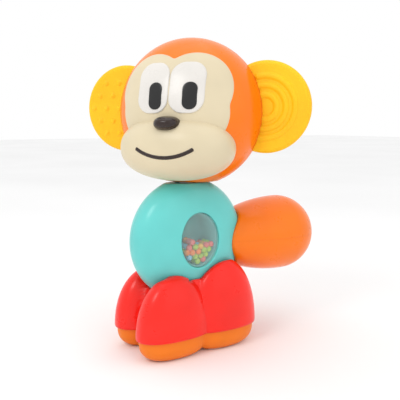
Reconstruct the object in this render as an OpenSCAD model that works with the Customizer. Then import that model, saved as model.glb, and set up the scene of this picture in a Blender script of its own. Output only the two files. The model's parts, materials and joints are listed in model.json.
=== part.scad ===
// Click-and-twist monkey rattle: a standing baby toy with a turning head, teether ears,
// a disc body with bead windows, a wagging tail and a four-lobed foot that the body rocks in.
// Frame: origin at the centre of the foot's resting face, +Z up, face side -Y, tail +Y.

/* [Foot] */
// Height of the orange sole
sole_h = 10.8; // [9:0.2:12]
// Half-width of one lobe of the foot
lobe_rx = 12.2; // [11:0.2:14]
// Half-length of one lobe of the foot
lobe_ry = 20.5; // [19:0.5:22]
// Sideways offset of each lobe's centre
lobe_x = 11.2; // [10:0.2:12]
// Fore-and-aft offset of each lobe's centre
lobe_y = 16; // [15:0.5:17]
// How much shorter the foot is at the heel
heel_in = 2; // [0:0.5:3]
// Height of the front lobes above the sole, before the body's seat is cut
front_lobe_h = 31; // [28:1:40]
// Height of the rear lobes above the sole, before the body's seat is cut
rear_lobe_h = 37; // [32:1:44]

/* [Body] */
// Radius of the disc-shaped body
body_r = 32.8; // [32:0.2:34]
// Half of the body's thickness
body_half = 16.4; // [16:0.2:18]
// Radius of the rounding around the body's rim
body_round = 10.5; // [9:0.5:12]
// Height of the body's centre, which is also the rocking axis
body_z = 57; // [56:0.5:58]
// Wall thickness of the plastic shells
wall = 2.2; // [1.8:0.1:2.4]
// Half-width of the oval bead windows
window_rx = 10.4; // [9:0.2:11]
// Half-height of the oval bead windows
window_rz = 13.4; // [12:0.2:14.4]
// Diameter of a bead
bead_d = 3.3; // [2.6:0.1:3.6]

/* [Head] */
// Radius of the head's round outline
head_r = 38.4; // [37:0.2:40]
// Half-depth of the head
head_half = 31; // [29:0.5:33]
// Radius of the rounding around the head's outline
head_round = 26; // [22:1:28]
// Height of the head's centre
head_z = 122.8; // [122:0.2:124]
// How far the head's centre lies behind the neck axis
head_back = 7; // [4:0.5:8]
// Angle that the head is turned to the toy's left as it stands
head_turn = 37.5; // [0:7.5:60]
// Number of clicks in one turn of the head
head_clicks = 48; // [24:12:48]

/* [Ears] */
// Radius of the teether ears
ear_r = 23.4; // [21:0.2:24]
// Thickness of the teether ears
ear_t = 5; // [4:0.5:6]
// Distance of each ear's centre from the head's middle plane
ear_x = 39.4; // [39:0.2:42]
// Height of the ears' centres
ear_z = 125.6; // [124:0.2:127]
// How far the ears lie behind the neck axis
ear_back = 10.4; // [7:0.2:12]

/* [Tail] */
// Largest radius of the tail
tail_r = 21.2; // [19:0.2:22]
// Distance of the tail's tip from the neck axis
tail_tip = 82; // [78:1:86]
// Height of the tail's own axis
tail_z = 54.6; // [54:0.2:57]

/* [Movement] */
// Rocking travel with the tail going down, in degrees
rock_back = 2; // [1:1:3]
// Rocking travel with the tail going up, in degrees
rock_front = 10; // [4:1:12]
// Tail travel downwards, in degrees
tail_down = 0; // [0:1:3]
// Tail travel upwards, in degrees
tail_up = 6; // [3:1:8]
// Gap between parts that move against each other
gap = 0.4; // [0.3:0.05:0.5]

/* [Hidden] */
$fn = 64;
foot_e = 2.3;                         // roundness exponent of the foot; 2 is an ellipse
foot_core = [17.5, 27, 33];           // solid that joins the lobes: half-width, half-length, height
inlay = 1.4;                          // depth of the face plate's recess in the head
head_wall = 3;
neck_face = body_z + body_r - 3;      // flat on top of the body
head_face = neck_face + 0.5;          // flat under the head
split_y = ear_back - ear_t / 2 - 1.6; // parting plane of the head, just ahead of the ears
shaft_r = 4;
bearing_r = 6;
running = 0.05;                       // radial clearance of the neck shaft
wheel_top = neck_face - wall - 5 - gap;
wheel_h = 2.6;
wheel_r = 7.4;
eye_w = 17;
eye_h = 24.6;
eye_gap = 0.4;
pupil_w = 7;
pupil_h = 13;
raise = 1;                            // how far each face inlay stands above the one below
rail_half = 14;                       // half-angle of the rocker rail
rail_r1 = body_r + gap + wall + gap;  // inner radius of the rail's outer flange
rail_r2 = rail_r1 + 2.4;
track_r = rail_r2 + gap;
slot_half = rail_half + max(rock_front, rock_back) + 2;
stem_r = 3;
tail_slot = asin((stem_r + gap) / (body_r - wall)) + tail_up + 0.5;
tail_mid = tail_tip - 20.5;           // where the tail is thickest
tail_arc = 94;                        // radius of the tail's front outline
window_rise = 1;
muzzle_drop = 17.6;
mouth_r = 27.7;                       // radius of the smile
mouth_low = 21.6;                     // lowest point of the smile below the head's centre
screw_r = 1.4;
head_screws_at = [[-22, -20], [22, -20], [-22, 22], [22, 22]];
foot_screws_at = [[-12.2, -21], [12.2, -21], [-12.2, 21], [12.2, 21]];
body_screws_at = [[-17.5, 16.5], [17.5, 16.5], [-17.5, -15.5], [17.5, -15.5]];
tail_screws_at = [52, 68];

// ---------- general shapes ----------

function spow(v, p) = sign(v) * pow(abs(v), p);

// Closed rounded solid with half-sizes r; exponents v_e in height and p_e in plan.
module blob(r, v_e, p_e, seg = 40, rings = 20) {
    ring_pts = [for (i = [1:rings - 1], j = [0:seg - 1])
        let (v = -90 + 180 * i / rings, h = 360 * j / seg)
        [r[0] * spow(cos(v), 2 / v_e) * spow(cos(h), 2 / p_e),
         r[1] * spow(cos(v), 2 / v_e) * spow(sin(h), 2 / p_e),
         r[2] * spow(sin(v), 2 / v_e)]];
    low = len(ring_pts);
    sides = [for (i = [0:rings - 3], j = [0:seg - 1])
        let (k = (j + 1) % seg) [i * seg + j, (i + 1) * seg + j, (i + 1) * seg + k, i * seg + k]];
    ends = [for (j = [0:seg - 1]) let (k = (j + 1) % seg, t = (rings - 2) * seg)
        each [[low, j, k], [low + 1, t + k, t + j]]];
    polyhedron(concat(ring_pts, [[0, 0, -r[2]], [0, 0, r[2]]]), concat(sides, ends));
}

// Radius of the flank arc that runs smoothly into a rim rounding of radius q.
function flank_r(h, r, q) = (pow(r - q, 2) + h * h - q * q) / (2 * (h - q));

// Rounded disc about the Z axis: radius r, half-thickness h, rim rounding q.
module pebble(h, r, q) {
    f = flank_r(h, r, q);
    rotate_extrude($fn = 96) {
        intersection() {
            translate([r - q, 0]) circle(r = q);
            translate([0, -r]) square([r, 2 * r]);
        }
        intersection() {
            translate([0, -r]) square([(r - q) * f / (f - q), 2 * r]);
            translate([0, f - h]) circle(r = f, $fn = 120);
            translate([0, h - f]) circle(r = f, $fn = 120);
        }
    }
}

// Long rounded solid about the Z axis: half-length h, radius r, end rounding q.
module bean(h, r, q) {
    f = flank_r(r, h, q);
    rotate_extrude($fn = 96) {
        intersection() {
            union() for (e = [-1, 1]) translate([0, e * (h - q)]) circle(r = q);
            translate([0, -h]) square([r, 2 * h]);
        }
        intersection() {
            translate([r - f, 0]) circle(r = f, $fn = 120);
            translate([0, -(h - q) * f / (f - q)]) square([r, 2 * (h - q) * f / (f - q)]);
        }
    }
}

// Disc of the body, centred on the rocking axis and grown all round.
module disc_x(grow) {
    translate([0, 0, body_z]) rotate([0, 90, 0])
        pebble(body_half + grow, body_r + grow, body_round + grow);
}

// Ring about the rocking axis: radii r1..r2, half-width w, from angle a1 to a2.
// Angle 0 points down and 90 points to the tail.
module arc_x(r1, r2, w, a1, a2) {
    reach = 2 * r2;
    mid = (a1 + a2) / 2;
    intersection() {
        translate([-w, 0, body_z]) rotate([0, 90, 0]) difference() {
            cylinder(r = r2, h = 2 * w, $fn = 96);
            translate([0, 0, -1]) cylinder(r = r1, h = 2 * w + 2, $fn = 96);
        }
        translate([-w - 1, 0, body_z]) rotate([90, 0, 90]) linear_extrude(2 * w + 2)
            polygon([[0, 0],
                for (a = [a1, mid, a2]) [reach * sin(a), -reach * cos(a)]]);
    }
}

// Oval post along X with half-sizes a (in Y) and b (in Z).
module oval_x(a, b, x1, x2, steps = 48) {
    translate([x1, 0, body_z + window_rise]) rotate([90, 0, 90]) linear_extrude(x2 - x1)
        polygon([for (i = [0:steps - 1]) [a * cos(360 * i / steps), b * sin(360 * i / steps)]]);
}

module below(z) { translate([-150, -150, z - 300]) cube(300); }
module above(z) { translate([-150, -150, z]) cube(300); }
module side(s) { translate([s > 0 ? 0 : -300, -150, -100]) cube(300); }
module tube(r1, r2, h) {
    difference() {
        cylinder(r = r2, h = h);
        translate([0, 0, -1]) cylinder(r = r1, h = h + 2);
    }
}
// Screw with its head at the origin, pointing along +Z.
module screw(head_r, length) {
    difference() {
        union() {
            cylinder(r = head_r, h = 1.8);
            cylinder(r = screw_r, h = length);
        }
        for (a = [0, 90]) rotate([0, 0, a]) translate([-head_r * 0.6, -0.35, -1])
            cube([head_r * 1.2, 0.7, 1.9]);
    }
}

// ---------- foot ----------

module lobe(r, grow, up, seg) {
    blob([r[0] + grow, r[1] + grow, (up ? r[2] : sole_h + 3) + grow],
        up ? foot_e : 3, foot_e, seg, seg / 2);
}

module lobes(grow, up, seg = 28) {
    for (s = [-1, 1], e = [-1, 1])
        translate([s * lobe_x, e * lobe_y - (e > 0 ? heel_in : 0), sole_h])
            lobe([lobe_rx, lobe_ry, e < 0 ? front_lobe_h : rear_lobe_h], grow, up, seg);
    translate([0, 0, sole_h]) lobe(foot_core, grow, up, seg);
}

module foot_post_positions() { for (p = foot_screws_at) translate([p[0], p[1], 0]) children(); }

module sole() {
    color("orange") difference() {
        intersection() {
            lobes(-1.4, false);
            above(0);
            below(sole_h);
        }
        difference() {
            intersection() {
                lobes(-1.4 - wall, false, 16);
                above(wall + 0.4);
            }
            foot_post_positions() cylinder(r = 3.6, h = sole_h);
        }
        foot_post_positions() {
            translate([0, 0, -1]) cylinder(r = screw_r, h = sole_h + 2);
            translate([0, 0, -1]) cylinder(r = 3, h = 4);
        }
    }
}

module foot_housing() {
    color("red") difference() {
        intersection() {
            lobes(0, true);
            above(sole_h);
        }
        disc_x(gap);
        difference() {
            lobes(-wall, true, 16);
            disc_x(gap + wall);
            foot_post_positions() translate([0, 0, sole_h]) cylinder(r = 3.2, h = 60);
        }
        // Slot for the neck of the rocker rail
        arc_x(body_r - 4, body_r + gap + wall + 2, 3 + gap, -slot_half, slot_half);
        foot_post_positions() translate([0, 0, sole_h - 1]) cylinder(r = screw_r, h = 14);
        // Room for the tail at its lowest
        translate([0, 0, body_z]) rotate([-rock_back - tail_down - 3, 0, 0])
            translate([0, 0, -body_z]) tail_solid(-gap);
    }
}

module foot_screws() {
    color("silver") foot_post_positions() translate([0, 0, 1.2]) screw(2.6, 22);
}

// U-shaped channel under the seat that keeps the rail from lifting out.
module rocker_track() {
    color("white") difference() {
        arc_x(body_r - 2, track_r + 2, 8.8, -slot_half, slot_half);
        arc_x(body_r - 3, track_r, 7, -slot_half - 5, slot_half + 5);
        disc_x(gap + wall);
        translate([0, 0, body_z - track_r - 5]) cylinder(r = 1.9, h = 10);
    }
}

module rocker_click_spring() {
    low = body_z - track_r - 5.6;
    color("silver") difference() {
        union() {
            translate([-2.5, -11, low]) cube([5, 22, 0.8]);
            for (s = [-1, 1]) translate([-2.5, s > 0 ? 9.4 : -11, low]) cube([5, 1.6, 8]);
            translate([0, 0, low]) cylinder(r = 1.4, h = track_r + 5.6 - rail_r2 - gap);
        }
        translate([-10, 0, body_z]) rotate([0, 90, 0]) cylinder(r = track_r + 2, h = 8.6);
        translate([1.4, 0, body_z]) rotate([0, 90, 0]) cylinder(r = track_r + 2, h = 8.6);
        translate([-10, 2.2, body_z]) difference() {
            rotate([0, 90, 0]) cylinder(r = track_r + 2, h = 20);
            translate([0, -52.2, -100]) cube([20, 52.2, 200]);
        }
        translate([-10, -2.2, body_z]) difference() {
            rotate([0, 90, 0]) cylinder(r = track_r + 2, h = 20);
            translate([0, 0, -100]) cube([20, 52.2, 200]);
        }
    }
}

// ---------- body ----------

module body_inner() {
    intersection() {
        disc_x(-wall);
        below(neck_face - wall);
    }
}

module body_shell(s) {
    color("turquoise") difference() {
        intersection() {
            disc_x(0);
            below(neck_face);
            side(s);
        }
        difference() {
            body_inner();
            for (p = body_screws_at) translate([-20, p[0], body_z + p[1]]) rotate([0, 90, 0])
                cylinder(r = 3, h = 40);
        }
        oval_x(window_rx + 0.9, window_rz + 0.9, -30, 30);
        translate([0, 0, neck_face - 5]) cylinder(r = bearing_r, h = 10);
        arc_x(body_r - wall - 3, body_r + 3, 3, -rail_half, rail_half);
        arc_x(body_r - wall - 3, body_r + 3, stem_r + gap, 90 - tail_slot, 90 + tail_slot);
        for (p = body_screws_at) translate([-30, p[0], body_z + p[1]]) rotate([0, 90, 0]) {
            cylinder(r = screw_r, h = 37);
            cylinder(r = 2.8, h = 23.5);
        }
    }
}
module body_shell_left() { body_shell(1); }
module body_shell_right() { body_shell(-1); }

module body_screws() {
    color("silver") for (p = body_screws_at)
        translate([-8.3, p[0], body_z + p[1]]) rotate([0, 90, 0]) screw(2.6, 14);
}

// Clear lens that closes one side of the bead chamber and follows the body's surface.
module window(s) {
    color([0.8, 0.9, 0.95, 0.4]) difference() {
        intersection() {
            disc_x(-0.3);
            oval_x(window_rx + 0.9, window_rz + 0.9, s > 0 ? 2 : -30, s > 0 ? 30 : -2);
        }
        disc_x(-1.9);
    }
}
module window_left() { window(1); }
module window_right() { window(-1); }

module bead_chamber() {
    color([0.6, 0.85, 0.85]) difference() {
        intersection() {
            oval_x(window_rx + 0.9, window_rz + 0.9, -30, 30);
            disc_x(-1.9);
        }
        oval_x(window_rx, window_rz, -31, 31);
    }
}

// Beads heaped at the bottom of the chamber: rows of a few layers, narrower lower down.
module beads() {
    floor_z = body_z + window_rise - window_rz;
    step = bead_d * 1.02;
    color("limegreen") for (layer = [0:2], col = [-2:2], row = [-3:3]) {
        z = floor_z + bead_d * (0.75 + 0.85 * layer);
        y = (col + (layer % 2) / 2) * step;
        x = (row + (layer % 2) / 2 - 0.25) * step;
        inside = pow(y / (window_rx - bead_d * 0.55), 2)
            + pow((z - body_z - window_rise) / (window_rz - bead_d * 0.55), 2);
        if (inside < 1) translate([x, y, z]) sphere(d = bead_d, $fn = 16);
    }
}

// I-shaped rail that hangs the body in the foot's track.
module rocker_rail() {
    color("white") union() {
        intersection() {
            arc_x(body_r - wall - 4.5, body_r - wall, 6, -rail_half, rail_half);
            disc_x(-wall);
        }
        arc_x(body_r - wall - 1, rail_r1, 3, -rail_half, rail_half);
        arc_x(rail_r1, rail_r2, 6.5, -rail_half, rail_half);
    }
}

module neck_bearing() {
    color("white") difference() {
        union() {
            translate([0, 0, neck_face - 5]) cylinder(r = bearing_r, h = 5);
            intersection() {
                body_inner();
                translate([0, 0, neck_face - wall - 5]) union() {
                    cylinder(r = bearing_r, h = 5);
                    translate([0, 0, 3]) cylinder(r = 10.5, h = 2);
                }
            }
        }
        translate([0, 0, neck_face - 20]) cylinder(r = shaft_r + running, h = 40);
    }
}

// Leaf spring from the front wall of the body, with a nose in the wheel's notches.
module neck_click_spring() {
    color("silver") intersection() {
        body_inner();
        union() {
            translate([-3, -32, wheel_top - wheel_h]) cube([6, 32 - wheel_r - 2.6, wheel_h]);
            translate([0, -wheel_r - 1.2 - gap, wheel_top - wheel_h]) cylinder(r = 1.2, h = wheel_h);
            translate([-0.8, -wheel_r - 3, wheel_top - wheel_h]) cube([1.6, 1.6, wheel_h]);
        }
    }
}

module tail_click_spring() {
    color("silver") intersection() {
        body_inner();
        union() {
            translate([2, body_r - wall - 8.2, body_z - 3]) cube([30, 1, 6]);
            translate([2, body_r - wall - 7.4, body_z]) rotate([0, 90, 0]) cylinder(r = 1.6, h = 3);
        }
    }
}

// ---------- tail ----------

module tail_slider() {
    color("white") difference() {
        intersection() {
            arc_x(body_r - wall - gap - 4.4, body_r - wall - gap, 6, 66, 114);
            disc_x(-wall - gap);
        }
        translate([0, 0, body_z]) rotate([-90, 0, 0]) cylinder(r = stem_r, h = 60);
    }
}

module tail_stem() {
    color("silver") difference() {
        translate([0, body_r - wall - gap - 2.4, body_z]) rotate([-90, 0, 0])
            cylinder(r = stem_r, h = 42 - (body_r - wall - gap - 2.4));
        translate([0, 36, body_z]) rotate([-90, 0, 0]) cylinder(r = screw_r, h = 10);
    }
}

// Pear shape about the tail's axis: a long front arc running into a rounded end.
module tail_solid(inset) {
    translate([0, tail_mid, tail_z]) rotate([-90, 0, 0]) {
        pebble(tail_tip - tail_mid - inset, tail_r - inset, 15 - inset);
        rotate_extrude($fn = 96) intersection() {
            translate([tail_r - tail_arc, 0]) circle(r = tail_arc - inset, $fn = 240);
            translate([0, -tail_mid + 16]) square([tail_r, tail_mid - 16]);
        }
    }
}

module tail_boss(z1, z2, r) {
    for (y = tail_screws_at) translate([0, y, z1]) cylinder(r = r, h = z2 - z1);
}

module tail_shell(top) {
    color("darkorange") difference() {
        intersection() {
            tail_solid(0);
            if (top) above(tail_z); else below(tail_z);
        }
        disc_x(gap);
        difference() {
            tail_solid(wall);
            disc_x(gap + wall);
            tail_boss(tail_z - 30, tail_z + 30, 3.4);
        }
        // Way in for the stem
        translate([0, 20, body_z]) rotate([-90, 0, 0]) cylinder(r = stem_r, h = 22);
        tail_boss(tail_z - 30, tail_z + 8, screw_r);
        tail_boss(tail_z - 30, tail_z - 13, 2.8);
    }
}
module tail_shell_upper() { tail_shell(true); }
module tail_shell_lower() { tail_shell(false); }

// Bulkhead inside the tail that the stem is screwed to.
module tail_core() {
    color("white") difference() {
        intersection() {
            tail_solid(wall);
            translate([0, 37.4, tail_z]) rotate([-90, 0, 0]) union() {
                translate([0, 0, 3]) cylinder(r = 30, h = 3.6);
                translate([0, tail_z - body_z, 0]) cylinder(r = 6, h = 5);
            }
        }
        disc_x(gap + wall);
        translate([0, 20, body_z]) rotate([-90, 0, 0]) cylinder(r = stem_r, h = 22);
        translate([0, 40, body_z]) rotate([-90, 0, 0]) cylinder(r = screw_r, h = 10);
    }
}

module tail_screw() {
    color("silver") translate([0, 45.8, body_z]) rotate([90, 0, 0]) screw(2.6, 9);
}

module tail_shell_screws() {
    color("silver") for (y = tail_screws_at) translate([0, y, tail_z - 14.8]) screw(2.6, 20);
}

// ---------- neck ----------

module neck_post() {
    color("white") difference() {
        union() {
            translate([0, 0, wheel_top]) cylinder(r = shaft_r, h = head_face + 3 - wheel_top);
            translate([0, 0, wheel_top - wheel_h]) cylinder(r = 3, h = wheel_h);
            intersection() {
                translate([0, 0, head_face + head_wall]) cylinder(r = 11, h = 2.4);
                turned() head_solid(-head_wall);
            }
        }
        translate([0, 0, wheel_top - wheel_h - 1]) cylinder(r = screw_r, h = 14);
    }
}

module neck_click_wheel() {
    color("gold") translate([0, 0, wheel_top - wheel_h]) difference() {
        cylinder(r = wheel_r, h = wheel_h);
        translate([0, 0, -1]) cylinder(r = 3, h = wheel_h + 2);
        for (i = [0:head_clicks - 1]) rotate([0, 0, 360 * i / head_clicks - 90])
            translate([wheel_r + 0.1, 0, -1]) cylinder(r = 0.35, h = wheel_h + 2, $fn = 16);
    }
}

module neck_washer() {
    color("silver") translate([0, 0, wheel_top - wheel_h - 0.8]) tube(screw_r, 6, 0.8);
}

module neck_screw() {
    color("silver") translate([0, 0, wheel_top - wheel_h - 2.6]) screw(3.4, 14);
}

// ---------- head, drawn facing forwards and turned as a whole ----------

module turned() { rotate([0, 0, head_turn]) children(); }

module head_solid(grow) {
    translate([0, head_back, head_z]) rotate([90, 0, 0])
        pebble(head_half + grow, head_r + grow, head_round + grow);
}

module head_box() { intersection() { head_solid(0); above(head_face); } }

module head_hollow() {
    intersection() {
        head_solid(-head_wall);
        above(head_face + head_wall);
    }
}

module ear_disc(s, r) {
    translate([s * ear_x, ear_back + ear_t / 2, ear_z]) rotate([90, 0, 0])
        cylinder(r = r, h = ear_t, $fn = 96);
}

// Ear outline: a disc cut off inside the head, with a narrower tongue further in.
module ear_blank(s) {
    inner = ear_x - 9.4;
    difference() {
        ear_disc(s, ear_r);
        translate([s > 0 ? inner - 60 : -inner, -30, ear_z - 50]) cube([60, 60, 100]);
    }
    translate([s > 0 ? inner - 6 : -inner - 0.01, ear_back - ear_t / 2, ear_z - 11])
        cube([6.01, ear_t, 22]);
}

module head_bosses(r, y1, y2) {
    for (p = head_screws_at) translate([p[0], y1, head_z + p[1]]) rotate([-90, 0, 0])
        cylinder(r = r, h = y2 - y1);
}

module head_shell(front) {
    color("darkorange") turned() difference() {
        intersection() {
            head_box();
            translate([-100, front ? split_y - 200 : split_y, 0]) cube([200, 200, 200]);
        }
        difference() {
            head_hollow();
            if (front) head_bosses(4, -40, split_y); else head_bosses(4, split_y, 60);
        }
        if (front) face_inlay_space();
        ear_blank(1);
        ear_blank(-1);
        cylinder(r = shaft_r, h = 120);
        head_bosses(screw_r, split_y - 13, 60);
        head_bosses(3, 22, 60);
    }
}
module head_shell_front() { head_shell(true); }
module head_shell_rear() { head_shell(false); }

module head_screws() {
    color("silver") turned() for (p = head_screws_at)
        translate([p[0], 23.8, head_z + p[1]]) rotate([90, 0, 0]) screw(2.8, 28);
}

// Extrudes a face outline (drawn as seen from the front, centred on the head) backwards.
module face_cut() {
    translate([0, -60, head_z]) rotate([90, 0, 0]) translate([0, 0, -60]) linear_extrude(60)
        children();
}

module face_outline() {
    for (s = [-1, 1]) {
        translate([s * 10.5, 10.2]) circle(r = 18.5);
        translate([s * 9.5, 0]) circle(r = 18.5);
    }
}

module face_inlay_space() {
    difference() {
        face_cut() face_outline();
        head_solid(-inlay);
    }
}

module face_plate() {
    color("wheat") turned() intersection() {
        head_solid(0);
        face_inlay_space();
    }
}

module muzzle_solid(grow) {
    translate([0, head_back - head_half + 12, head_z - muzzle_drop])
        blob([29.6 + grow, 19 + grow, 16.4 + grow], 2.2, 2.3, 28, 14);
}

module muzzle() {
    color("wheat") turned() difference() {
        intersection() {
            muzzle_solid(0);
            above(head_face);
        }
        head_solid(0);
    }
}

// A plate that follows the head's surface between two heights above it.
module face_layer(low, high) {
    difference() {
        intersection() {
            face_cut() children();
            head_solid(high);
        }
        head_solid(low);
    }
}

module rounded_bar(w, h, r) {
    for (sx = [-1, 1], sy = [-1, 1]) translate([sx * (w / 2 - r), sy * (h / 2 - r)]) circle(r = r);
    square([w - 2 * r, h], center = true);
    square([w, h - 2 * r], center = true);
}

module eye_white(s) {
    color("white") turned() difference() {
        face_layer(0, raise) translate([s * (eye_w + eye_gap) / 2, 11.6])
            rounded_bar(eye_w, eye_h, 7);
        muzzle_solid(0);
    }
}
module eye_white_left() { eye_white(1); }
module eye_white_right() { eye_white(-1); }

module pupil(s) {
    color([0.05, 0.05, 0.05]) turned() face_layer(raise, raise + 0.4)
        translate([s * (eye_w + eye_gap) / 2 + 1.9, 7.6]) rounded_bar(pupil_w, pupil_h, 3.3);
}
module pupil_left() { pupil(1); }
module pupil_right() { pupil(-1); }

module nose() {
    color([0.12, 0.07, 0.05]) turned() difference() {
        translate([0, head_back - head_half - 4.4, head_z - 5.5]) union() {
            rotate([0, 90, 0]) bean(6.3, 3.6, 2.8);
            rotate([-90, 0, 0]) linear_extrude(9) rounded_bar(12, 6.8, 3);
        }
        head_solid(0);
        muzzle_solid(0);
    }
}

module mouth() {
    color([0.12, 0.07, 0.05]) turned() intersection() {
        difference() {
            muzzle_solid(0.5);
            muzzle_solid(0);
        }
        face_cut() translate([0, mouth_r - mouth_low]) {
            intersection() {
                difference() {
                    circle(r = mouth_r + 0.9, $fn = 120);
                    circle(r = mouth_r - 0.9, $fn = 120);
                }
                polygon([[0, 0], [-36.9, -60], [36.9, -60]]);
            }
            for (s = [-1, 1]) rotate(s * 31.6) translate([0, -mouth_r]) circle(r = 0.9);
        }
    }
}

// Left ear: three C-shaped ridges on each face.
module ear_left() {
    color("gold") turned() union() {
        ear_blank(1);
        difference() {
            for (r = [6.2, 10.9, 15.6], f = [-1, 1])
                translate([ear_x, ear_back + f * ear_t / 2, ear_z]) rotate([90, 0, 0])
                    rotate_extrude() translate([r, 0]) circle(r = 0.9, $fn = 16);
            translate([ear_x - 3 - 60, -60, ear_z - 50]) cube([60, 120, 100]);
            head_solid(0.3);
        }
    }
}

// Right ear: round bumps in staggered rows on each face.
module ear_right() {
    color("gold") turned() union() {
        ear_blank(-1);
        for (i = [-3:3], j = [-3:3], f = [-1, 1]) {
            x = -7 + i * 7 + (abs(j) % 2) * 3.5;
            z = j * 6.2;
            if (norm([x, z]) < ear_r - 2.6 && x < -0.5)
                translate([x - ear_x, ear_back + f * ear_t / 2, ear_z + z]) rotate([90, 0, 0])
                    translate([0, 0, -0.7]) cylinder(r = 1.4, h = 1.4, $fn = 20);
        }
    }
}

// Block that grips an ear's tongue inside the head.
module ear_clamp(s) {
    color("white") turned() difference() {
        translate([s > 0 ? ear_x - 17 : -ear_x + 17 - 7, ear_back - 6.5, ear_z - 9]) cube([7, 13, 18]);
        ear_blank(s);
    }
}
module ear_clamp_left() { ear_clamp(1); }
module ear_clamp_right() { ear_clamp(-1); }

sole();
foot_housing();
foot_screws();
rocker_track();
rocker_click_spring();
body_shell_left();
body_shell_right();
body_screws();
window_left();
window_right();
bead_chamber();
beads();
rocker_rail();
neck_bearing();
neck_click_spring();
tail_click_spring();
tail_slider();
tail_stem();
tail_core();
tail_screw();
tail_shell_upper();
tail_shell_lower();
tail_shell_screws();
neck_post();
neck_click_wheel();
neck_washer();
neck_screw();
head_shell_front();
head_shell_rear();
head_screws();
face_plate();
muzzle();
eye_white_left();
eye_white_right();
pupil_left();
pupil_right();
nose();
mouth();
ear_left();
ear_right();
ear_clamp_left();
ear_clamp_right();
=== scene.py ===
"""Looks of the click-and-twist monkey rattle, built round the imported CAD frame.

Lengths are in metres in the frame of the record: +Z up, -Y the toy's front, +Y the tail,
+X the toy's own left. The head's pieces are drawn facing -Y and turned as the head stands.
"""

import json
import math
import random

import bmesh
import bpy
from mathutils import Matrix, Vector


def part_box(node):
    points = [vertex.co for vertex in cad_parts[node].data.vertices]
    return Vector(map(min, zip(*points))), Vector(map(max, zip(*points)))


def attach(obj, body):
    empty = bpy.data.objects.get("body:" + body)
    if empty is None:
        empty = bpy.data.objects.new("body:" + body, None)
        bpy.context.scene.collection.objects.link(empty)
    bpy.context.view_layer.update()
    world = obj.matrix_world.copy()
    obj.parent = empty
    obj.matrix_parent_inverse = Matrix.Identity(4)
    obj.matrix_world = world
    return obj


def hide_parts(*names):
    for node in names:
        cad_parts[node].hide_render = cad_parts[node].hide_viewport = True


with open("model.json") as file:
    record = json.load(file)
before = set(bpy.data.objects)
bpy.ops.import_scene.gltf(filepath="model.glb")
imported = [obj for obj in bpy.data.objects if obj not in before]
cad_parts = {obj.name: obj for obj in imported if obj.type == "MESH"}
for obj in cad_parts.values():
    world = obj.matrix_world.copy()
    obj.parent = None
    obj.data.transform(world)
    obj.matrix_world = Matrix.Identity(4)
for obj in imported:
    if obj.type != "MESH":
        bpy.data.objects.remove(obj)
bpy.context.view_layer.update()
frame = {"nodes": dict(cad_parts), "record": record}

MM = 0.001
nodes = frame["nodes"]


# ---------------------------------------------------------------- sizes taken from the frame
def joint(name):
    return next(j for j in frame["record"]["behaviour"]["joints"] if j["name"] == name)


def size(node, axis):
    low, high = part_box(node)
    return high[axis] - low[axis]


HEAD_TURN = math.radians(37.5)
GAP = 0.4 * MM
TAIL_DROP = 5.0  # degrees below rest that the foot leaves room for

BODY_Z = joint("body_rock")["pos_m"][2]
BODY_R = BODY_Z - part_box("body_shell_left")[0][2]
BODY_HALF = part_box("body_shell_left")[1][0]
BODY_ROUND = 10.5 * MM
NECK_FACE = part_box("body_shell_left")[1][2]
WINDOW_A = size("bead_chamber", 1) / 2 - 0.9 * MM
WINDOW_B = size("bead_chamber", 2) / 2 - 0.9 * MM
WINDOW_Z = (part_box("bead_chamber")[0][2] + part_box("bead_chamber")[1][2]) / 2
WINDOW_LIP = 0.9 * MM
LENS_DEPTH, LENS_T = 0.55 * MM, 1.2 * MM

HEAD_R = 38.4 * MM
HEAD_HALF = 31 * MM
HEAD_ROUND = 26 * MM
HEAD_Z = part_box("head_shell_rear")[1][2] - HEAD_R
HEAD_BACK = 7 * MM
HEAD_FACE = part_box("head_shell_rear")[0][2]

EAR_R = size("ear_left", 2) / 2
EAR_T = 5 * MM
EAR_X = 39.4 * MM
EAR_BACK = 10.4 * MM
EAR_Z = (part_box("ear_left")[0][2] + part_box("ear_left")[1][2]) / 2

TAIL_R = size("tail_shell_upper", 0) / 2
TAIL_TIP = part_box("tail_shell_upper")[1][1]
TAIL_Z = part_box("tail_shell_upper")[0][2]
TAIL_START = 16 * MM
TAIL_MID = TAIL_TIP - 20.5 * MM
TAIL_ARC = 94 * MM
TAIL_ROUND = 15 * MM

SOLE_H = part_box("sole")[1][2]
LOBE_RX, LOBE_RY = 11.0 * MM, 20.5 * MM
LOBE_X, LOBE_Y, HEEL_IN = 12.4 * MM, 15.5 * MM, 1.5 * MM
LOBE_FRONT_H, LOBE_REAR_H = 30.5 * MM, 36.2 * MM
CORE_RX, CORE_RY, CORE_H = 18.8 * MM, 26.0 * MM, 38 * MM
FOOT_E = 2.3
FOOT_UP_E = 2.1
SOLE_E = 3
SOLE_SINK = 2.3 * MM
SOLE_INSET = 1.4 * MM

MUZZLE = (29.6 * MM, 19 * MM, 16.4 * MM)
MUZZLE_E, MUZZLE_PLAN_E = 2.2, 2.3
MUZZLE_Y = HEAD_BACK - HEAD_HALF + 12 * MM
MUZZLE_Z = HEAD_Z - 17.6 * MM


# ---------------------------------------------------------------- materials
def principled(name):
    mat = bpy.data.materials.new(name)
    mat.use_nodes = True
    tree = mat.node_tree
    shader = tree.nodes["Principled BSDF"]
    return mat, tree, shader


def noise(tree, scale, detail=3.0, rough=0.5):
    coord = tree.nodes.new("ShaderNodeTexCoord")
    tex = tree.nodes.new("ShaderNodeTexNoise")
    tex.inputs["Scale"].default_value = scale
    tex.inputs["Detail"].default_value = detail
    tex.inputs["Roughness"].default_value = rough
    tree.links.new(coord.outputs["Object"], tex.inputs["Vector"])
    return tex


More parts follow.
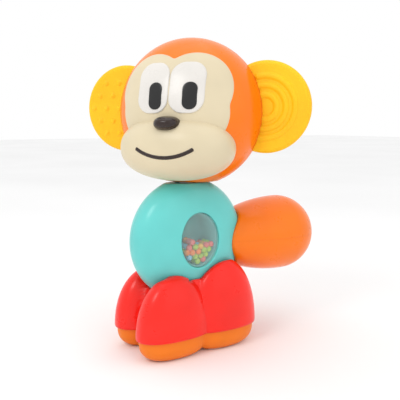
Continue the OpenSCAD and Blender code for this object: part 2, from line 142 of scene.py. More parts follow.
def ramp(tree, source, stops):
    node = tree.nodes.new("ShaderNodeValToRGB")
    node.color_ramp.elements[0].position = stops[0][0]
    node.color_ramp.elements[0].color = stops[0][1]
    node.color_ramp.elements[1].position = stops[-1][0]
    node.color_ramp.elements[1].color = stops[-1][1]
    for place, colour in stops[1:-1]:
        node.color_ramp.elements.new(place).color = colour
    tree.links.new(source, node.inputs["Fac"])
    return node


def map_range(tree, source, low, high):
    node = tree.nodes.new("ShaderNodeMapRange")
    node.inputs["From Min"].default_value = 0.3
    node.inputs["From Max"].default_value = 0.7
    node.inputs["To Min"].default_value = low
    node.inputs["To Max"].default_value = high
    tree.links.new(source, node.inputs["Value"])
    return node


def tint(colour, factor):
    return [min(1.0, c * factor) for c in colour[:3]] + [1.0]


def plastic(name, colour, rough=(0.24, 0.32), spread=0.05, grain=0.02, coat=0.0, soft=0.0,
            specular=0.3):
    """Moulded plastic: slow colour and gloss drift from the mould, a fine surface grain."""
    mat, tree, shader = principled(name)
    drift = noise(tree, 45.0, 2.0)
    shade = ramp(tree, drift.outputs["Fac"],
                 [(0.3, tint(colour, 1 - spread)), (0.7, tint(colour, 1 + spread))])
    tree.links.new(shade.outputs["Color"], shader.inputs["Base Color"])
    gloss = noise(tree, 160.0, 4.0, 0.6)
    tree.links.new(map_range(tree, gloss.outputs["Fac"], *rough).outputs["Result"],
                   shader.inputs["Roughness"])
    fine = noise(tree, 2600.0, 2.0)
    bump = tree.nodes.new("ShaderNodeBump")
    bump.inputs["Strength"].default_value = grain
    bump.inputs["Distance"].default_value = 0.0002
    tree.links.new(fine.outputs["Fac"], bump.inputs["Height"])
    tree.links.new(bump.outputs["Normal"], shader.inputs["Normal"])
    shader.inputs["Specular IOR Level"].default_value = specular
    shader.inputs["Coat Weight"].default_value = coat
    shader.inputs["Coat Roughness"].default_value = 0.12
    if soft:
        shader.inputs["Subsurface Weight"].default_value = soft
        shader.inputs["Subsurface Radius"].default_value = (1.0, 0.5, 0.2)
        shader.inputs["Subsurface Scale"].default_value = 0.003
    return mat


def metal(name, colour, rough=(0.22, 0.38)):
    mat, tree, shader = principled(name)
    streak = noise(tree, 900.0, 3.0, 0.7)
    shade = ramp(tree, streak.outputs["Fac"], [(0.3, tint(colour, 0.85)), (0.7, tint(colour, 1.1))])
    tree.links.new(shade.outputs["Color"], shader.inputs["Base Color"])
    tree.links.new(map_range(tree, streak.outputs["Fac"], *rough).outputs["Result"],
                   shader.inputs["Roughness"])
    shader.inputs["Metallic"].default_value = 1.0
    return mat


def clear(name, colour, alpha):
    mat, tree, shader = principled(name)
    drift = noise(tree, 60.0, 2.0)
    shade = ramp(tree, drift.outputs["Fac"], [(0.3, tint(colour, 0.95)), (0.7, tint(colour, 1.05))])
    tree.links.new(shade.outputs["Color"], shader.inputs["Base Color"])
    tree.links.new(map_range(tree, drift.outputs["Fac"], 0.04, 0.08).outputs["Result"],
                   shader.inputs["Roughness"])
    shader.inputs["Alpha"].default_value = alpha
    shader.inputs["Specular IOR Level"].default_value = 0.9
    return mat


ORANGE = plastic("orange_plastic", (0.93, 0.19, 0.001), rough=(0.26, 0.34), coat=0.15)
RED = plastic("red_plastic", (0.90, 0.010, 0.002), rough=(0.26, 0.36), coat=0.25)
SOLE = plastic("sole_plastic", (0.86, 0.20, 0.008), rough=(0.36, 0.46))
TEAL = plastic("teal_plastic", (0.13, 0.60, 0.57), rough=(0.28, 0.36), coat=0.3)
CREAM = plastic("cream_plastic", (0.69, 0.595, 0.41), rough=(0.3, 0.4), coat=0.1)
WHITE = plastic("eye_white", (0.72, 0.69, 0.65), rough=(0.24, 0.34), coat=0.15)
BLACK = plastic("pupil_black", (0.006, 0.006, 0.006), rough=(0.16, 0.24), coat=0.4)
BROWN = plastic("nose_brown", (0.022, 0.010, 0.007), rough=(0.2, 0.3), coat=0.3)
EAR = plastic("ear_rubber", (0.98, 0.54, 0.004), rough=(0.5, 0.6), grain=0.05, soft=0.15,
              specular=0.35)
CHAMBER = plastic("chamber_plastic", (0.17, 0.48, 0.46), rough=(0.35, 0.45))
CLEAR = clear("clear_window", (0.55, 0.68, 0.68), 0.14)
ACETAL = plastic("white_acetal", (0.75, 0.75, 0.72), rough=(0.4, 0.5))
STEEL = metal("bright_steel", (0.6, 0.6, 0.6))
BEAD_COLOURS = {
    "lime": (0.42, 0.62, 0.04),
    "orange": (0.90, 0.24, 0.02),
    "coral": (0.82, 0.16, 0.14),
    "sky": (0.28, 0.58, 0.78),
    "amber": (0.86, 0.46, 0.04),
}


# ---------------------------------------------------------------- mesh helpers
def new_piece(name, verts, faces, mat, body, turned=False, smooth=True, weld=1e-6):
    mesh = bpy.data.meshes.new(name)
    mesh.from_pydata([tuple(v) for v in verts], [], faces)
    bm = bmesh.new()
    bm.from_mesh(mesh)
    bmesh.ops.remove_doubles(bm, verts=bm.verts, dist=weld)
    bmesh.ops.recalc_face_normals(bm, faces=bm.faces)
    bm.to_mesh(mesh)
    bm.free()
    if turned:
        mesh.transform(Matrix.Rotation(HEAD_TURN, 4, "Z"))
    mesh.polygons.foreach_set("use_smooth", [smooth] * len(mesh.polygons))
    mesh.materials.append(mat)
    obj = bpy.data.objects.new(name, mesh)
    bpy.context.scene.collection.objects.link(obj)
    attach(obj, body)
    return obj


def grid_faces(rows, cols, closed=True):
    """Quads between rows of points; closed joins the last column to the first."""
    faces = []
    for i in range(rows - 1):
        for j in range(cols if closed else cols - 1):
            k = (j + 1) % cols
            faces.append((i * cols + j, i * cols + k, (i + 1) * cols + k, (i + 1) * cols + j))
    return faces


def capped(rows, cols):
    """Faces of a closed solid whose first and last rows are fans round added centre points."""
    count = rows * cols
    faces = grid_faces(rows, cols)
    for j in range(cols):
        k = (j + 1) % cols
        faces.append((count, k, j))
        faces.append((count + 1, (rows - 1) * cols + j, (rows - 1) * cols + k))
    return faces


def flank_radius(half, radius, rounding):
    return ((radius - rounding) ** 2 + half**2 - rounding**2) / (2 * (half - rounding))


def pebble_height(rho, half, radius, rounding):
    """Half-thickness of the rounded disc at distance rho from its axis."""
    flank = flank_radius(half, radius, rounding)
    tangent = (radius - rounding) * flank / (flank - rounding)
    rho = min(max(rho, 0.0), radius)
    if rho < tangent:
        return math.sqrt(flank**2 - rho**2) - (flank - half)
    return math.sqrt(max(rounding**2 - (rho - radius + rounding) ** 2, 0.0))


def superellipsoid(sizes, v_e, p_e, cols=96, rows=48):
    """Closed rounded solid about the origin: height exponent v_e, plan exponent p_e."""
    def power(value, exponent):
        return math.copysign(abs(value) ** exponent, value)

    verts = []
    for i in range(1, rows):
        v = math.pi * (i / rows - 0.5)
        for j in range(cols):
            h = 2 * math.pi * j / cols
            verts.append(Vector((
                sizes[0] * power(math.cos(v), 2 / v_e) * power(math.cos(h), 2 / p_e),
                sizes[1] * power(math.cos(v), 2 / v_e) * power(math.sin(h), 2 / p_e),
                sizes[2] * power(math.sin(v), 2 / v_e))))
    verts += [Vector((0, 0, -sizes[2])), Vector((0, 0, sizes[2]))]
    return verts, capped(rows - 1, cols)


# ---------------------------------------------------------------- head shell
def head_front(x, z, lift=0.0):
    """Y of the head's front surface, grown by lift, at x and z measured from its centre."""
    rho = math.hypot(x, z)
    return HEAD_BACK - pebble_height(rho, HEAD_HALF + lift, HEAD_R + lift, HEAD_ROUND + lift)


def make_head():
    """Revolved shell with a flat underneath and a fine parting line ahead of the ears."""
    split = EAR_BACK - EAR_T / 2 - 1.6 * MM
    groove_half, groove_deep = 0.22 * MM, 0.25 * MM
    steps, cols = 72, 192
    flank = flank_radius(HEAD_HALF, HEAD_R, HEAD_ROUND)
    tangent = math.asin((HEAD_R - HEAD_ROUND) / (flank - HEAD_ROUND))
    half = []
    for i in range(1, steps // 2 + 1):
        a = tangent * i / (steps // 2)
        half.append((flank * math.sin(a), flank * math.cos(a) - (flank - HEAD_HALF)))
    for i in range(1, steps + 1):
        a = tangent + (math.pi / 2 - tangent) * i / steps
        half.append((HEAD_R - HEAD_ROUND + HEAD_ROUND * math.sin(a), HEAD_ROUND * math.cos(a)))
    ring = [(r, HEAD_BACK - y) for r, y in half + [(r, -y) for r, y in reversed(half[:-1])]]
    profile = []
    for (r0, y0), (r1, y1) in zip(ring, ring[1:]):
        profile.append((r0, y0))
        if y0 < split <= y1:
            r = r0 + (r1 - r0) * (split - y0) / (y1 - y0)
            profile += [(r, split - groove_half), (r - groove_deep, split),
                        (r, split + groove_half)]
    profile.append(ring[-1])
    verts = []
    for r, y in profile:
        for j in range(cols):
            a = 2 * math.pi * j / cols
            z = max(HEAD_Z + r * math.sin(a), HEAD_FACE)
            verts.append(Vector((r * math.cos(a), y, z)))
    verts += [Vector((0, HEAD_BACK + y, HEAD_Z)) for y in (-HEAD_HALF, HEAD_HALF)]
    obj = new_piece("head_shell", verts, capped(len(profile), cols), ORANGE, "head", turned=True)
    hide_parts("head_shell_front", "head_shell_rear")


# ---------------------------------------------------------------- face inlays
def circles_outline(circles, count=220):
    """Outer outline, round the origin, of overlapping circles (x, z, r)."""
    points = []
    for i in range(count):
        a = 2 * math.pi * i / count
        dx, dz = math.cos(a), math.sin(a)
        reach = 0.0
        for cx, cz, r in circles:
            along = cx * dx + cz * dz
            inside = r * r - (cx * cx + cz * cz - along * along)
            if inside > 0:
                reach = max(reach, along + math.sqrt(inside))
        points.append((reach * dx, reach * dz))
    return points


def smooth_outline(points, rounds):
    """Softens the corners of a closed outline a little."""
    for _ in range(rounds):
        n = len(points)
        points = [((points[i - 1][0] + 2 * points[i][0] + points[(i + 1) % n][0]) / 4,
                   (points[i - 1][1] + 2 * points[i][1] + points[(i + 1) % n][1]) / 4)
                  for i in range(n)]
    return points


def rounded_rectangle(cx, cz, width, height, r, per_corner=16):
    points = []
    corners = ((1, 1, 0), (-1, 1, 90), (-1, -1, 180), (1, -1, 270))
    for sx, sz, start in corners:
        for i in range(per_corner + 1):
            a = math.radians(start + 90 * i / per_corner)
            points.append((cx + sx * (width / 2 - r) + r * math.cos(a),
                           cz + sz * (height / 2 - r) + r * math.sin(a)))
    return points


def inlay(name, outline, low, high, edge, mat, replaced, rings=26):
    """Plate on the head's front: outline in x, z from the head's centre, with a rounded edge.

    low and high are its foot and top measured outwards from the head's surface.
    """
    n, corner = len(outline), 7
    cx = sum(p[0] for p in outline) / n
    cz = sum(p[1] for p in outline) / n
    centre = Vector((cx, cz))
    flat = [Vector(p) for p in outline]
    normals = []
    for i in range(n):
        along = flat[(i + 1) % n] - flat[i - 1]
        inward = Vector((-along.y, along.x)).normalized()
        normals.append(inward if inward.dot(centre - flat[i]) >= 0 else -inward)
    rows = [[(p, low) for p in flat]]
    for k in range(corner + 1):
        a = math.pi / 2 * k / corner
        inset, lift = edge * (1 - math.cos(a)), high - edge + edge * math.sin(a)
        rows.append([(p + m * inset, lift) for p, m in zip(flat, normals)])
    rim = rows[-1]
    for k in range(1, rings):
        rows.append([(p.lerp(centre, k / rings), high) for p, _ in rim])
    verts = [Vector((p.x, head_front(p.x, p.y, lift), HEAD_Z + p.y))
             for row in rows for p, lift in row]
    verts += [Vector((cx, head_front(cx, cz, lift), HEAD_Z + cz)) for lift in (low, high)]
    obj = new_piece(name, verts, capped(len(rows), n), mat, "head", turned=True)
    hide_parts(replaced)


def make_face():
    outline = circles_outline([(s * 10.5 * MM, 10.2 * MM, 18.5 * MM) for s in (-1, 1)]
                              + [(s * 9.5 * MM, 0, 18.5 * MM) for s in (-1, 1)])
    inlay("face_plate", smooth_outline(outline, 2), -0.7 * MM, 0.25 * MM, 0.5 * MM, CREAM,
          "face_plate")
    for side, s in (("left", 1), ("right", -1)):
        inlay("eye_white_" + side,
              rounded_rectangle(s * 8.7 * MM, 11.6 * MM, 17 * MM, 24.6 * MM, 7 * MM),
              -0.4 * MM, 1.0 * MM, 0.6 * MM, WHITE, "eye_white_" + side)
        inlay("pupil_" + side,
              rounded_rectangle((s * 8.7 + 1.9) * MM, 7.6 * MM, 7 * MM, 13 * MM, 3.3 * MM),
              0.6 * MM, 1.4 * MM, 0.35 * MM, BLACK, "pupil_" + side, 10)


def muzzle_front(x, z):
    """Y of the muzzle's front surface at x and z measured from its own centre."""
    a, b, c = MUZZLE
    up = max(1 - abs(z / c) ** MUZZLE_E, 0.0) ** (MUZZLE_PLAN_E / MUZZLE_E)
    side = abs(x / a) ** MUZZLE_PLAN_E
    return MUZZLE_Y - b * max(up - side, 0.0) ** (1 / MUZZLE_PLAN_E)


def make_muzzle():
    verts, faces = superellipsoid(MUZZLE, MUZZLE_E, MUZZLE_PLAN_E, 128, 72)
    verts = [v + Vector((0, MUZZLE_Y, MUZZLE_Z)) for v in verts]
    obj = new_piece("muzzle", verts, faces, CREAM, "head", turned=True)
    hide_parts("muzzle")


def make_nose():
    """Rounded button with a soft rectangular outline, seated on the face."""
    verts, faces = superellipsoid((6.3 * MM, 8 * MM, 3.6 * MM), 2.3, 2.5, 64, 40)
    place = Vector((0, HEAD_BACK - HEAD_HALF - 0.2 * MM, HEAD_Z - 5.5 * MM))
    obj = new_piece("nose", [v + place for v in verts], faces, BROWN, "head", turned=True)
    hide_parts("nose")


def make_mouth():
    """Flattened bead along an arc on the muzzle, with rounded ends."""
    radius, lowest, half_width, proud = 27.7 * MM, 21.6 * MM, 0.9 * MM, 0.35 * MM
    reach, overrun, steps, around = math.radians(31.6), 0.03, 90, 12
    verts = []
    for i in range(steps + 1):
        t = -1 + 2 * i / steps
        past = max(abs(t) - (1 - overrun), 0) / overrun
        width = half_width * math.sqrt(max(1 - past**2, 0.0)) + 0.01 * MM
        a = t * reach * (1 + overrun)
        for k in range(around):
            b = 2 * math.pi * k / around
            r = radius + width * math.cos(b)
            x, z = r * math.sin(a), HEAD_Z + radius - lowest - r * math.cos(a)
            y = muzzle_front(x, z - MUZZLE_Z) - proud * width / half_width * math.sin(b)
            verts.append(Vector((x, y, z)))
    ends = [sum(verts[:around], Vector()) / around, sum(verts[-around:], Vector()) / around]
    obj = new_piece("mouth", verts + ends, capped(steps + 1, around), BROWN, "head", turned=True)
    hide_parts("mouth")


# ---------------------------------------------------------------- ears
def make_ear(side, s, relief):
    """Soft disc with a rounded rim; relief(r, a) is the height of its pattern, a 0 outwards."""
    cols, rings, rim, edge = 256, 70, 8, 2.2 * MM
    rows = []
    for k in range(rings + 1):
        rows.append(((EAR_R - edge) * (k + 0.6) / (rings + 0.6), EAR_T / 2, 1.0))
    for k in range(1, rim + 1):
        a = math.pi / 2 * k / rim
        rows.append((EAR_R - edge + edge * math.sin(a), EAR_T / 2 - edge * (1 - math.cos(a)), 0.0))
    verts = []
    for face, face_rows in ((-1, rows), (1, rows[::-1])):
        for r, y, patterned in face_rows:
            for j in range(cols):
                a = 2 * math.pi * j / cols
                verts.append(Vector((s * (EAR_X + r * math.cos(a)),
                                     EAR_BACK + face * (y + relief(r, a) * patterned),
                                     EAR_Z + r * math.sin(a))))
    for face in (-1, 1):
        verts.append(Vector((s * EAR_X, EAR_BACK + face * (EAR_T / 2 + relief(0, 0)), EAR_Z)))
    obj = new_piece("ear_" + side, verts, capped(2 * len(rows), cols), EAR, "head", turned=True)
    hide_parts("ear_" + side)


def ridges(r, a):
    """Three C-shaped ridges, open towards the head."""
    high, cut = 0.95 * MM, -3.6 * MM
    x, best = r * math.cos(a), 0.0
    for mid, half in ((6.2 * MM, 1.65 * MM), (10.9 * MM, 1.5 * MM), (15.6 * MM, 1.5 * MM)):
        away = abs(r - mid)
        if x < cut:
            end = math.sqrt(mid * mid - cut * cut)
            away = math.hypot(x - cut, abs(r * math.sin(a)) - end)
        if away < half:
            best = max(best, high * math.sqrt(1 - (away / half) ** 2))
    return best


BUMPS = [((-12.5 + 7.9 * i + (j % 2) * 3.95) * MM, 6.85 * j * MM)
         for i in range(-1, 5) for j in range(-3, 4)]
BUMPS = [p for p in BUMPS if math.hypot(*p) < EAR_R - 3.6 * MM]


def bumps(r, a):
    """Round bumps in staggered rows."""
    high, radius = 0.8 * MM, 1.5 * MM
    x, z = r * math.cos(a), r * math.sin(a)
    for bx, bz in BUMPS:
        away = math.hypot(x - bx, z - bz)
        if away < radius:
            return high * math.cos(math.pi / 2 * away / radius) ** 0.7
    return 0.0


# ---------------------------------------------------------------- body
def body_x(rho):
    return pebble_height(rho, BODY_HALF, BODY_R, BODY_ROUND)


def window_point(grow, a):
    """Y and height from the body's centre of a point of the window's oval, grown."""
    y = (WINDOW_A + grow) * math.cos(a)
    return y, WINDOW_Z - BODY_Z + (WINDOW_B + grow) * math.sin(a)


def make_body():
    """Half shells with a rolled edge round the window and a fine seam at the rim."""
    cols, rings = 256, 64
    turns = [2 * math.pi * j / cols for j in range(cols)]
    for side, s in (("left", 1), ("right", -1)):
        rows = []
        for grow, down in ((1.0, 2.4 * MM), (1.0, 0.7 * MM), (1.06, 0.3 * MM), (1.25, 0.08 * MM)):
            edge = [window_point(WINDOW_LIP * grow, a) for a in turns]
            rows.append([(y, z, body_x(math.hypot(y, z)) - down) for y, z in edge])
        for k in range(rings + 1):
            t = math.sin(math.pi / 2 * k / rings)
            row = []
            for a in turns:
                y0, z0 = window_point(WINDOW_LIP * 1.5, a)
                out = math.atan2(z0, y0)
                y = y0 + (BODY_R * math.cos(out) - y0) * t
                z = z0 + (BODY_R * math.sin(out) - z0) * t
                row.append((y, z, max(body_x(math.hypot(y, z)), 0.12 * MM)))
            rows.append(row)
        sunk = 1 - 0.3 * MM / BODY_R
        rows.append([(y * sunk, z * sunk, 0.0) for y, z, _ in rows[-1]])
        points = [Vector((s * x, y, min(BODY_Z + z, NECK_FACE))) for row in rows for y, z, x in row]
        obj = new_piece("body_shell_" + side, points, grid_faces(len(rows), cols), TEAL, "body")
        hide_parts("body_shell_" + side)
        make_window(side, s)


def make_window(side, s):
    """Clear domed lens, a little below the shell's surface."""
    cols, rings = 96, 18
    out = []
    for k in range(rings):
        for j in range(cols):
            y, z = window_point(WINDOW_LIP * 0.7, 2 * math.pi * j / cols)
            drop = WINDOW_Z - BODY_Z
            t = (k + 0.5) / (rings - 0.5)
            y, z = y * t, drop + (z - drop) * t
            out.append((y, z, body_x(math.hypot(y, z)) - LENS_DEPTH))
    inner = [(y, z, x - LENS_T) for y, z, x in out[-cols:]]
    verts = [Vector((s * x, y, BODY_Z + z)) for y, z, x in out + inner]
    centre = body_x(abs(WINDOW_Z - BODY_Z)) - LENS_DEPTH
    verts += [Vector((s * x, 0, WINDOW_Z)) for x in (centre, centre - LENS_T)]
    obj = new_piece("window_" + side, verts, capped(rings + 1, cols), CLEAR, "body")
    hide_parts("window_" + side)


def make_chamber():
    """Oval tube between the lenses with a dividing wall in the middle."""
    cols, lip, wall, clear_of_lens = 96, 0.85 * MM, 0.6 * MM, 2.1 * MM
    verts = []
    for s, grow, at_end in ((1, 0, False), (1, 0, True), (1, lip, True),
                            (-1, lip, True), (-1, 0, True), (-1, 0, False)):
        for j in range(cols):
            y, z = window_point(grow, 2 * math.pi * j / cols)
            reach = body_x(math.hypot(y, z)) - clear_of_lens if at_end else wall
            verts.append(Vector((s * reach, y, BODY_Z + z)))
    verts += [Vector((wall, 0, WINDOW_Z)), Vector((-wall, 0, WINDOW_Z))]
    obj = new_piece("bead_chamber", verts, capped(6, cols), CHAMBER, "body")
    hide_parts("bead_chamber")


def make_beads():
    """Glossy balls heaped in the lower part of the chamber, in five colours."""
    rng = random.Random(7)
    radius = 1.62 * MM
    base = WINDOW_Z - WINDOW_B
    spots = []
    layers, step = 5, 2 * radius * 1.03
    for layer in range(layers):
        z = base + radius * 1.3 + layer * step * 0.76
        for side in (-1, 1):
            for col in range(-5, 6):
                y = (col + (layer % 2) * 0.5) * step + rng.uniform(-0.2, 0.2) * MM
                zz = z + rng.uniform(-0.2, 0.25) * MM + (0.5 * MM if col > 0 else 0)
                a, b = WINDOW_A - radius, WINDOW_B - radius
                if (y / a) ** 2 + ((zz - WINDOW_Z) / b) ** 2 >= 1:
                    continue
                if layer == layers - 1 and rng.random() < 0.5:
                    continue
                limit = body_x(math.hypot(y, zz - BODY_Z)) - 3.6 * MM
                for row in range(4):
                    x = limit - row * step - rng.uniform(0, 0.3) * MM - (layer % 2) * 0.4 * MM
                    if x > radius + 0.7 * MM:
                        spots.append(Vector((side * x, y, zz)))
    names = list(BEAD_COLOURS)
    weights = [6, 3, 3, 2, 3]
    chosen = [rng.choices(names, weights)[0] for _ in spots]
    for name in names:
        verts, faces = [], []
        for spot, colour in zip(spots, chosen):
            if colour != name:
                continue
            ball, ball_faces = superellipsoid((radius,) * 3, 2, 2, 20, 12)
            start = len(verts)
            verts += [v + spot for v in ball]
            faces += [tuple(i + start for i in f) for f in ball_faces]
        obj = new_piece("beads_" + name, verts, faces,
                        plastic("bead_" + name, BEAD_COLOURS[name], rough=(0.12, 0.2), coat=0.3),
                        "body")
        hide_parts("beads")


# ---------------------------------------------------------------- tail
def tail_profile():
    """Points (r, y) of the tail's outline, from the body end to the tip."""
    points = []
    for k in range(61):
        y = TAIL_START + (TAIL_MID - TAIL_START) * k / 60
        points.append((math.sqrt(TAIL_ARC**2 - (TAIL_MID - y) ** 2) - TAIL_ARC + TAIL_R, y))
    half = TAIL_TIP - TAIL_MID
    flank = flank_radius(half, TAIL_R, TAIL_ROUND)
    tangent = math.asin((TAIL_R - TAIL_ROUND) / (flank - TAIL_ROUND))
    for k in range(1, 41):
        a = math.pi / 2 - (math.pi / 2 - tangent) * k / 40
        points.append((TAIL_R - TAIL_ROUND + TAIL_ROUND * math.sin(a),
                       TAIL_MID + TAIL_ROUND * math.cos(a)))
    for k in range(1, 16):
        a = tangent * (1 - k / 16)
        points.append((flank * math.sin(a), TAIL_MID + flank * math.cos(a) - (flank - half)))
    return points


def body_rim_y(x, z, grow):
    """Y of the body's rear surface, grown, at x and z; None outside it."""
    half, radius, rounding = BODY_HALF + grow, BODY_R + grow, BODY_ROUND + grow
    if abs(x) >= half:
        return None
    low, high = 0.0, radius
    for _ in range(40):
        mid = (low + high) / 2
        if pebble_height(mid, half, radius, rounding) > abs(x):
            low = mid
        else:
            high = mid
    inside = low**2 - z**2
    return math.sqrt(inside) if inside > 0 else None


def make_tail():
    """Pear-shaped shell with a parting line on each side and a rolled edge at the body."""
    profile = tail_profile()
    angles = [2 * math.pi * k / 180 for k in range(180)]
    for base in (0.0, math.pi):
        angles += [base - 0.022, base - 0.011, base + 0.011, base + 0.022]
    angles = sorted({round(a % (2 * math.pi), 6) for a in angles})
    cols = len(angles)

    def radius_at(y):
        for (r0, y0), (r1, y1) in zip(profile, profile[1:]):
            if y0 <= y <= y1:
                return r0 + (r1 - r0) * (y - y0) / max(y1 - y0, 1e-9)
        return profile[0][0]

    # Where each lengthwise line meets the body's clearance surface
    starts = []
    for a in angles:
        low, high = TAIL_START, TAIL_MID
        for _ in range(40):
            mid = (low + high) / 2
            r = radius_at(mid)
            edge = body_rim_y(r * math.cos(a), TAIL_Z + r * math.sin(a) - BODY_Z, GAP + 0.25 * MM)
            if edge is not None and mid < edge:
                low = mid
            else:
                high = mid
        starts.append(high)

    lip, lip_steps, body_rows = 1.3 * MM, 6, 40
    rows = [[(y + 0.15 * MM, -depth) for y in starts] for depth in (4.0 * MM, 2.4 * MM)]
    for k in range(lip_steps + 1):
        a = math.pi / 2 * k / lip_steps
        rows.append([(y + lip * (1 - math.cos(a)), -lip * (1 - math.sin(a))) for y in starts])
    for k in range(1, body_rows + 1):
        t = k / body_rows
        rows.append([(y + lip + (TAIL_MID - y - lip) * t, 0.0) for y in starts])
    rings = [[(radius_at(y) + sink, y) for y, sink in row] for row in rows]
    rings += [[p] * cols for p in profile if p[1] > TAIL_MID + 1e-6]
    points = []
    for ring in rings:
        for (r, y), a in zip(ring, angles):
            if abs(math.sin(a)) < 0.005 and r > 4 * MM:
                r -= 0.22 * MM
            points.append(Vector((r * math.cos(a), y, TAIL_Z + r * math.sin(a))))
    first = sum(points[:cols], Vector()) / cols
    points += [Vector((0, first.y, TAIL_Z)), Vector((0, TAIL_TIP, TAIL_Z))]
    obj = new_piece("tail_shell", points, capped(len(rings), cols), ORANGE, "tail")
    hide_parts("tail_shell_upper", "tail_shell_lower")


# ---------------------------------------------------------------- foot
LOBES = [(sx * LOBE_X, sy * LOBE_Y - (HEEL_IN if sy > 0 else 0.0), LOBE_RX, LOBE_RY,
          LOBE_FRONT_H if sy < 0 else LOBE_REAR_H) for sx in (-1, 1) for sy in (-1, 1)]
LOBES.append((0.0, 0.0, CORE_RX, CORE_RY, CORE_H))


def lobe_reach(angle, height, grow, lower=False):
    """Distance from the foot's axis to its side, with softly rounded creases."""
    dx, dy = math.cos(angle), math.sin(angle)
    reaches = []
    for cx, cy, rx, ry, tall in LOBES:
        if lower:
            deep = SOLE_H + SOLE_SINK + grow
            scale = max(1 - abs((SOLE_H - height) / deep) ** SOLE_E, 0.0) ** (1 / SOLE_E)
        else:
            scale = max(1 - abs((height - SOLE_H) / tall) ** FOOT_UP_E, 0.0) ** (1 / FOOT_UP_E)
        ax, ay = (rx + grow) * scale, (ry + grow) * scale
        if ax < 1e-6:
            continue

        def level(t):
            return abs((t * dx - cx) / ax) ** FOOT_E + abs((t * dy - cy) / ay) ** FOOT_E

        # Where the line from the axis runs deepest in the lobe, then out to its side
        near, far = 0.0, 60 * MM
        for _ in range(24):
            a, b = near + (far - near) / 3, far - (far - near) / 3
            near, far = (near, b) if level(a) < level(b) else (a, far)
        low, high = near, 80 * MM
        if level(low) > 1:
            continue
        for _ in range(32):
            mid = (low + high) / 2
            low, high = (low, mid) if level(mid) > 1 else (mid, high)
        reaches.append(low)
    if not reaches:
        return 0.0
    top, soft = max(reaches), 0.3 * MM
    return top + soft * math.log(sum(math.exp((r - top) / soft) for r in reaches)) - soft * 0.35


def in_body(x, y, z, grow):
    return abs(x) < pebble_height(math.hypot(y, z - BODY_Z), BODY_HALF + grow, BODY_R + grow,
                                  BODY_ROUND + grow) and math.hypot(y, z - BODY_Z) < BODY_R + grow


def in_tail(x, y, z, drop):
    """True inside the tail's shape when it hangs drop degrees lower than at rest."""
    a = math.radians(drop)
    y0 = y * math.cos(a) - (z - BODY_Z) * math.sin(a)
    z0 = BODY_Z + y * math.sin(a) + (z - BODY_Z) * math.cos(a)
    if not TAIL_START < y0 < TAIL_MID:
        return False
    r = math.sqrt((TAIL_ARC + GAP) ** 2 - (TAIL_MID - y0) ** 2) - TAIL_ARC + TAIL_R
    return math.hypot(x, z0 - TAIL_Z) < r


def seat_z(x, y, grow):
    """Height of the underside of the body's clearance surface above x, y."""
    half, radius, rounding = BODY_HALF + grow, BODY_R + grow, BODY_ROUND + grow
    low, high = 0.0, radius
    for _ in range(36):
        mid = (low + high) / 2
        if pebble_height(mid, half, radius, rounding) > abs(x):
            low = mid
        else:
            high = mid
    return BODY_Z - math.sqrt(max(low**2 - y**2, 0.0))


def foot_points(rows, angles):
    return [Vector((r * math.cos(a), r * math.sin(a), z)) for row in rows
            for (r, z), a in zip(row, angles)]


def make_foot():
    """Housing: lobed sides up to a rounded rim, then the seat that follows the body."""
    cols, up = 288, 44
    angles = [2 * math.pi * j / cols for j in range(cols)]
    tops = []
    for a in angles:
        low, high = SOLE_H, SOLE_H + LOBE_REAR_H
        for _ in range(26):
            mid = (low + high) / 2
            r = lobe_reach(a, mid, 0.0)
            x, y = r * math.cos(a), r * math.sin(a)
            if r < 1e-6 or in_body(x, y, mid, GAP) or in_tail(x, y, mid, TAIL_DROP):
                high = mid
            else:
                low = mid
        tops.append(low)
    # Lower edge: a short turned-in lip above the sole
    base = [lobe_reach(a, SOLE_H, 0.0) for a in angles]
    rows = [[(lobe_reach(a, SOLE_H, -1.6 * MM), SOLE_H + 0.02 * MM) for a in angles],
            [(r - 0.5 * MM, SOLE_H + 0.02 * MM) for r in base],
            [(r - 0.15 * MM, SOLE_H + 0.15 * MM) for r in base]]
    start, rim = SOLE_H + 0.5 * MM, 0.9 * MM
    for k in range(1, up + 1):
        row = []
        for a, top in zip(angles, tops):
            z = start + (top - rim - start) * k / up
            row.append((lobe_reach(a, z, 0.0), z))
        rows.append(row)
    verts = foot_points(rows, angles)
    seat = ((0.25 * MM, 0.35 * MM), (0.8 * MM, 0.1 * MM), (1.6 * MM, 0.0), (4 * MM, 0.0),
            (8 * MM, 0.0), (14 * MM, 0.0))
    for back, sink in seat:
        for a, top in zip(angles, tops):
            r = max(lobe_reach(a, top, 0.0) - back, 2 * MM)
            x = max(min(r * math.cos(a), BODY_HALF), -BODY_HALF)
            y = r * math.sin(a)
            verts.append(Vector((x, y, min(seat_z(x, y, GAP) - sink, top))))
    obj = new_piece("foot_housing", verts, grid_faces(len(rows) + len(seat), cols), RED, "foot")
    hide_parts("foot_housing")


def make_sole():
    """Bulging sides, a rounded lower edge and a flat resting face."""
    cols, down = 288, 24
    angles = [2 * math.pi * j / cols for j in range(cols)]
    rows = [[(lobe_reach(a, SOLE_H, -grow, True), SOLE_H) for a in angles]
            for grow in (2.6 * MM, 1.6 * MM)]
    for k in range(1, down + 1):
        z = SOLE_H * (1 - k / down) ** 1.2
        rows.append([(lobe_reach(a, z, -SOLE_INSET, True), z) for a in angles])
    rows[-1] = [(r - 0.5 * MM, 0.0) for r, _ in rows[-1]]
    verts = foot_points(rows, angles) + [Vector((0, 0, SOLE_H)), Vector((0, 0, 0))]
    obj = new_piece("sole", verts, capped(len(rows), cols), SOLE, "foot")
    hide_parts("sole")


# ---------------------------------------------------------------- carried-over CAD nodes
def dress(node, mat):
    obj = nodes[node]
    if not obj.material_slots:
        obj.data.materials.append(mat)
    for slot in obj.material_slots:
        slot.material = mat


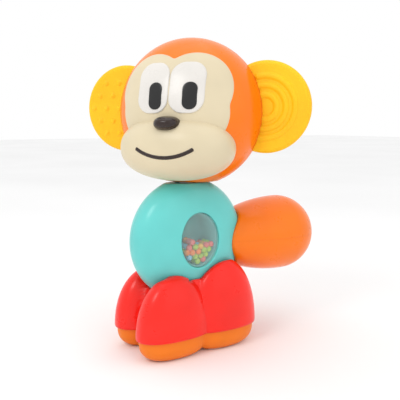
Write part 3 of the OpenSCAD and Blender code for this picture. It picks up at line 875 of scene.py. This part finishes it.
make_head()
make_face()
make_muzzle()
make_nose()
make_mouth()
make_ear("left", 1, ridges)
make_ear("right", -1, bumps)
make_body()
make_chamber()
make_beads()
make_tail()
make_foot()
make_sole()

for part in frame["record"]["subparts"]:
    if part["material_slot"] == "steel":
        dress(part["node"], STEEL)
    elif part["material_slot"] in ("white_acetal", "wheel_acetal"):
        dress(part["node"], ACETAL)


# ---------------------------------------------------------------- floor, light and camera
def make_floor():
    mesh = bpy.data.meshes.new("floor")
    bm = bmesh.new()
    bmesh.ops.create_grid(bm, x_segments=8, y_segments=8, size=4.0)
    bm.to_mesh(mesh)
    bm.free()
    mat, tree, shader = principled("floor_paper")
    drift = noise(tree, 3.0, 2.0)
    shade = ramp(tree, drift.outputs["Fac"],
                 [(0.3, (0.90, 0.90, 0.90, 1)), (0.7, (0.94, 0.94, 0.94, 1))])
    tree.links.new(shade.outputs["Color"], shader.inputs["Base Color"])
    shader.inputs["Roughness"].default_value = 0.9
    shader.inputs["Specular IOR Level"].default_value = 0.1
    mesh.materials.append(mat)
    floor = bpy.data.objects.new("floor", mesh)
    floor.location.z = -0.0002
    bpy.context.scene.collection.objects.link(floor)


def area_light(name, place, target, side, power, colour=(1, 1, 1)):
    data = bpy.data.lights.new(name, "AREA")
    data.size = side
    data.energy = power
    data.color = colour
    light = bpy.data.objects.new(name, data)
    light.location = place
    aim = Vector(target) - Vector(place)
    light.rotation_euler = aim.to_track_quat("-Z", "Y").to_euler()
    bpy.context.scene.collection.objects.link(light)


def make_studio():
    world = bpy.data.worlds.new("studio")
    world.use_nodes = True
    world.node_tree.nodes["Background"].inputs["Color"].default_value = (1, 1, 1, 1)
    world.node_tree.nodes["Background"].inputs["Strength"].default_value = 1.0
    bpy.context.scene.world = world
    centre = (0.0, 0.01, 0.09)

    def around(azimuth, distance, height):
        a = math.radians(azimuth)
        return (math.sin(a) * distance, -math.cos(a) * distance, height)

    area_light("key", around(20, 0.55, 0.55), centre, 0.24, 0.9)
    area_light("fill", around(105, 0.6, 0.35), centre, 0.5, 0.2)
    area_light("top", (0.0, 0.0, 0.75), centre, 0.5, 0.5)


def make_camera():
    """The photograph's viewpoint: from the toy's front left, a little above its neck."""
    azimuth, distance, height = math.radians(57.4), 0.300, 0.1174
    pitch, aside, focal = math.radians(7.6), -0.0071, 574.9 / 400 * 36
    data = bpy.data.cameras.new("camera")
    data.sensor_width = 36
    data.lens = focal
    data.clip_start = 0.01
    camera = bpy.data.objects.new("camera", data)
    camera.location = (-aside * math.cos(azimuth) + distance * math.sin(azimuth),
                       -aside * math.sin(azimuth) - distance * math.cos(azimuth), height)
    look = Vector((-math.sin(azimuth) * math.cos(pitch), math.cos(azimuth) * math.cos(pitch),
                   -math.sin(pitch)))
    camera.rotation_euler = look.to_track_quat("-Z", "Y").to_euler()
    bpy.context.scene.collection.objects.link(camera)
    bpy.context.scene.camera = camera


bpy.context.scene.view_settings.view_transform = "Standard"
make_floor()
make_studio()
make_camera()
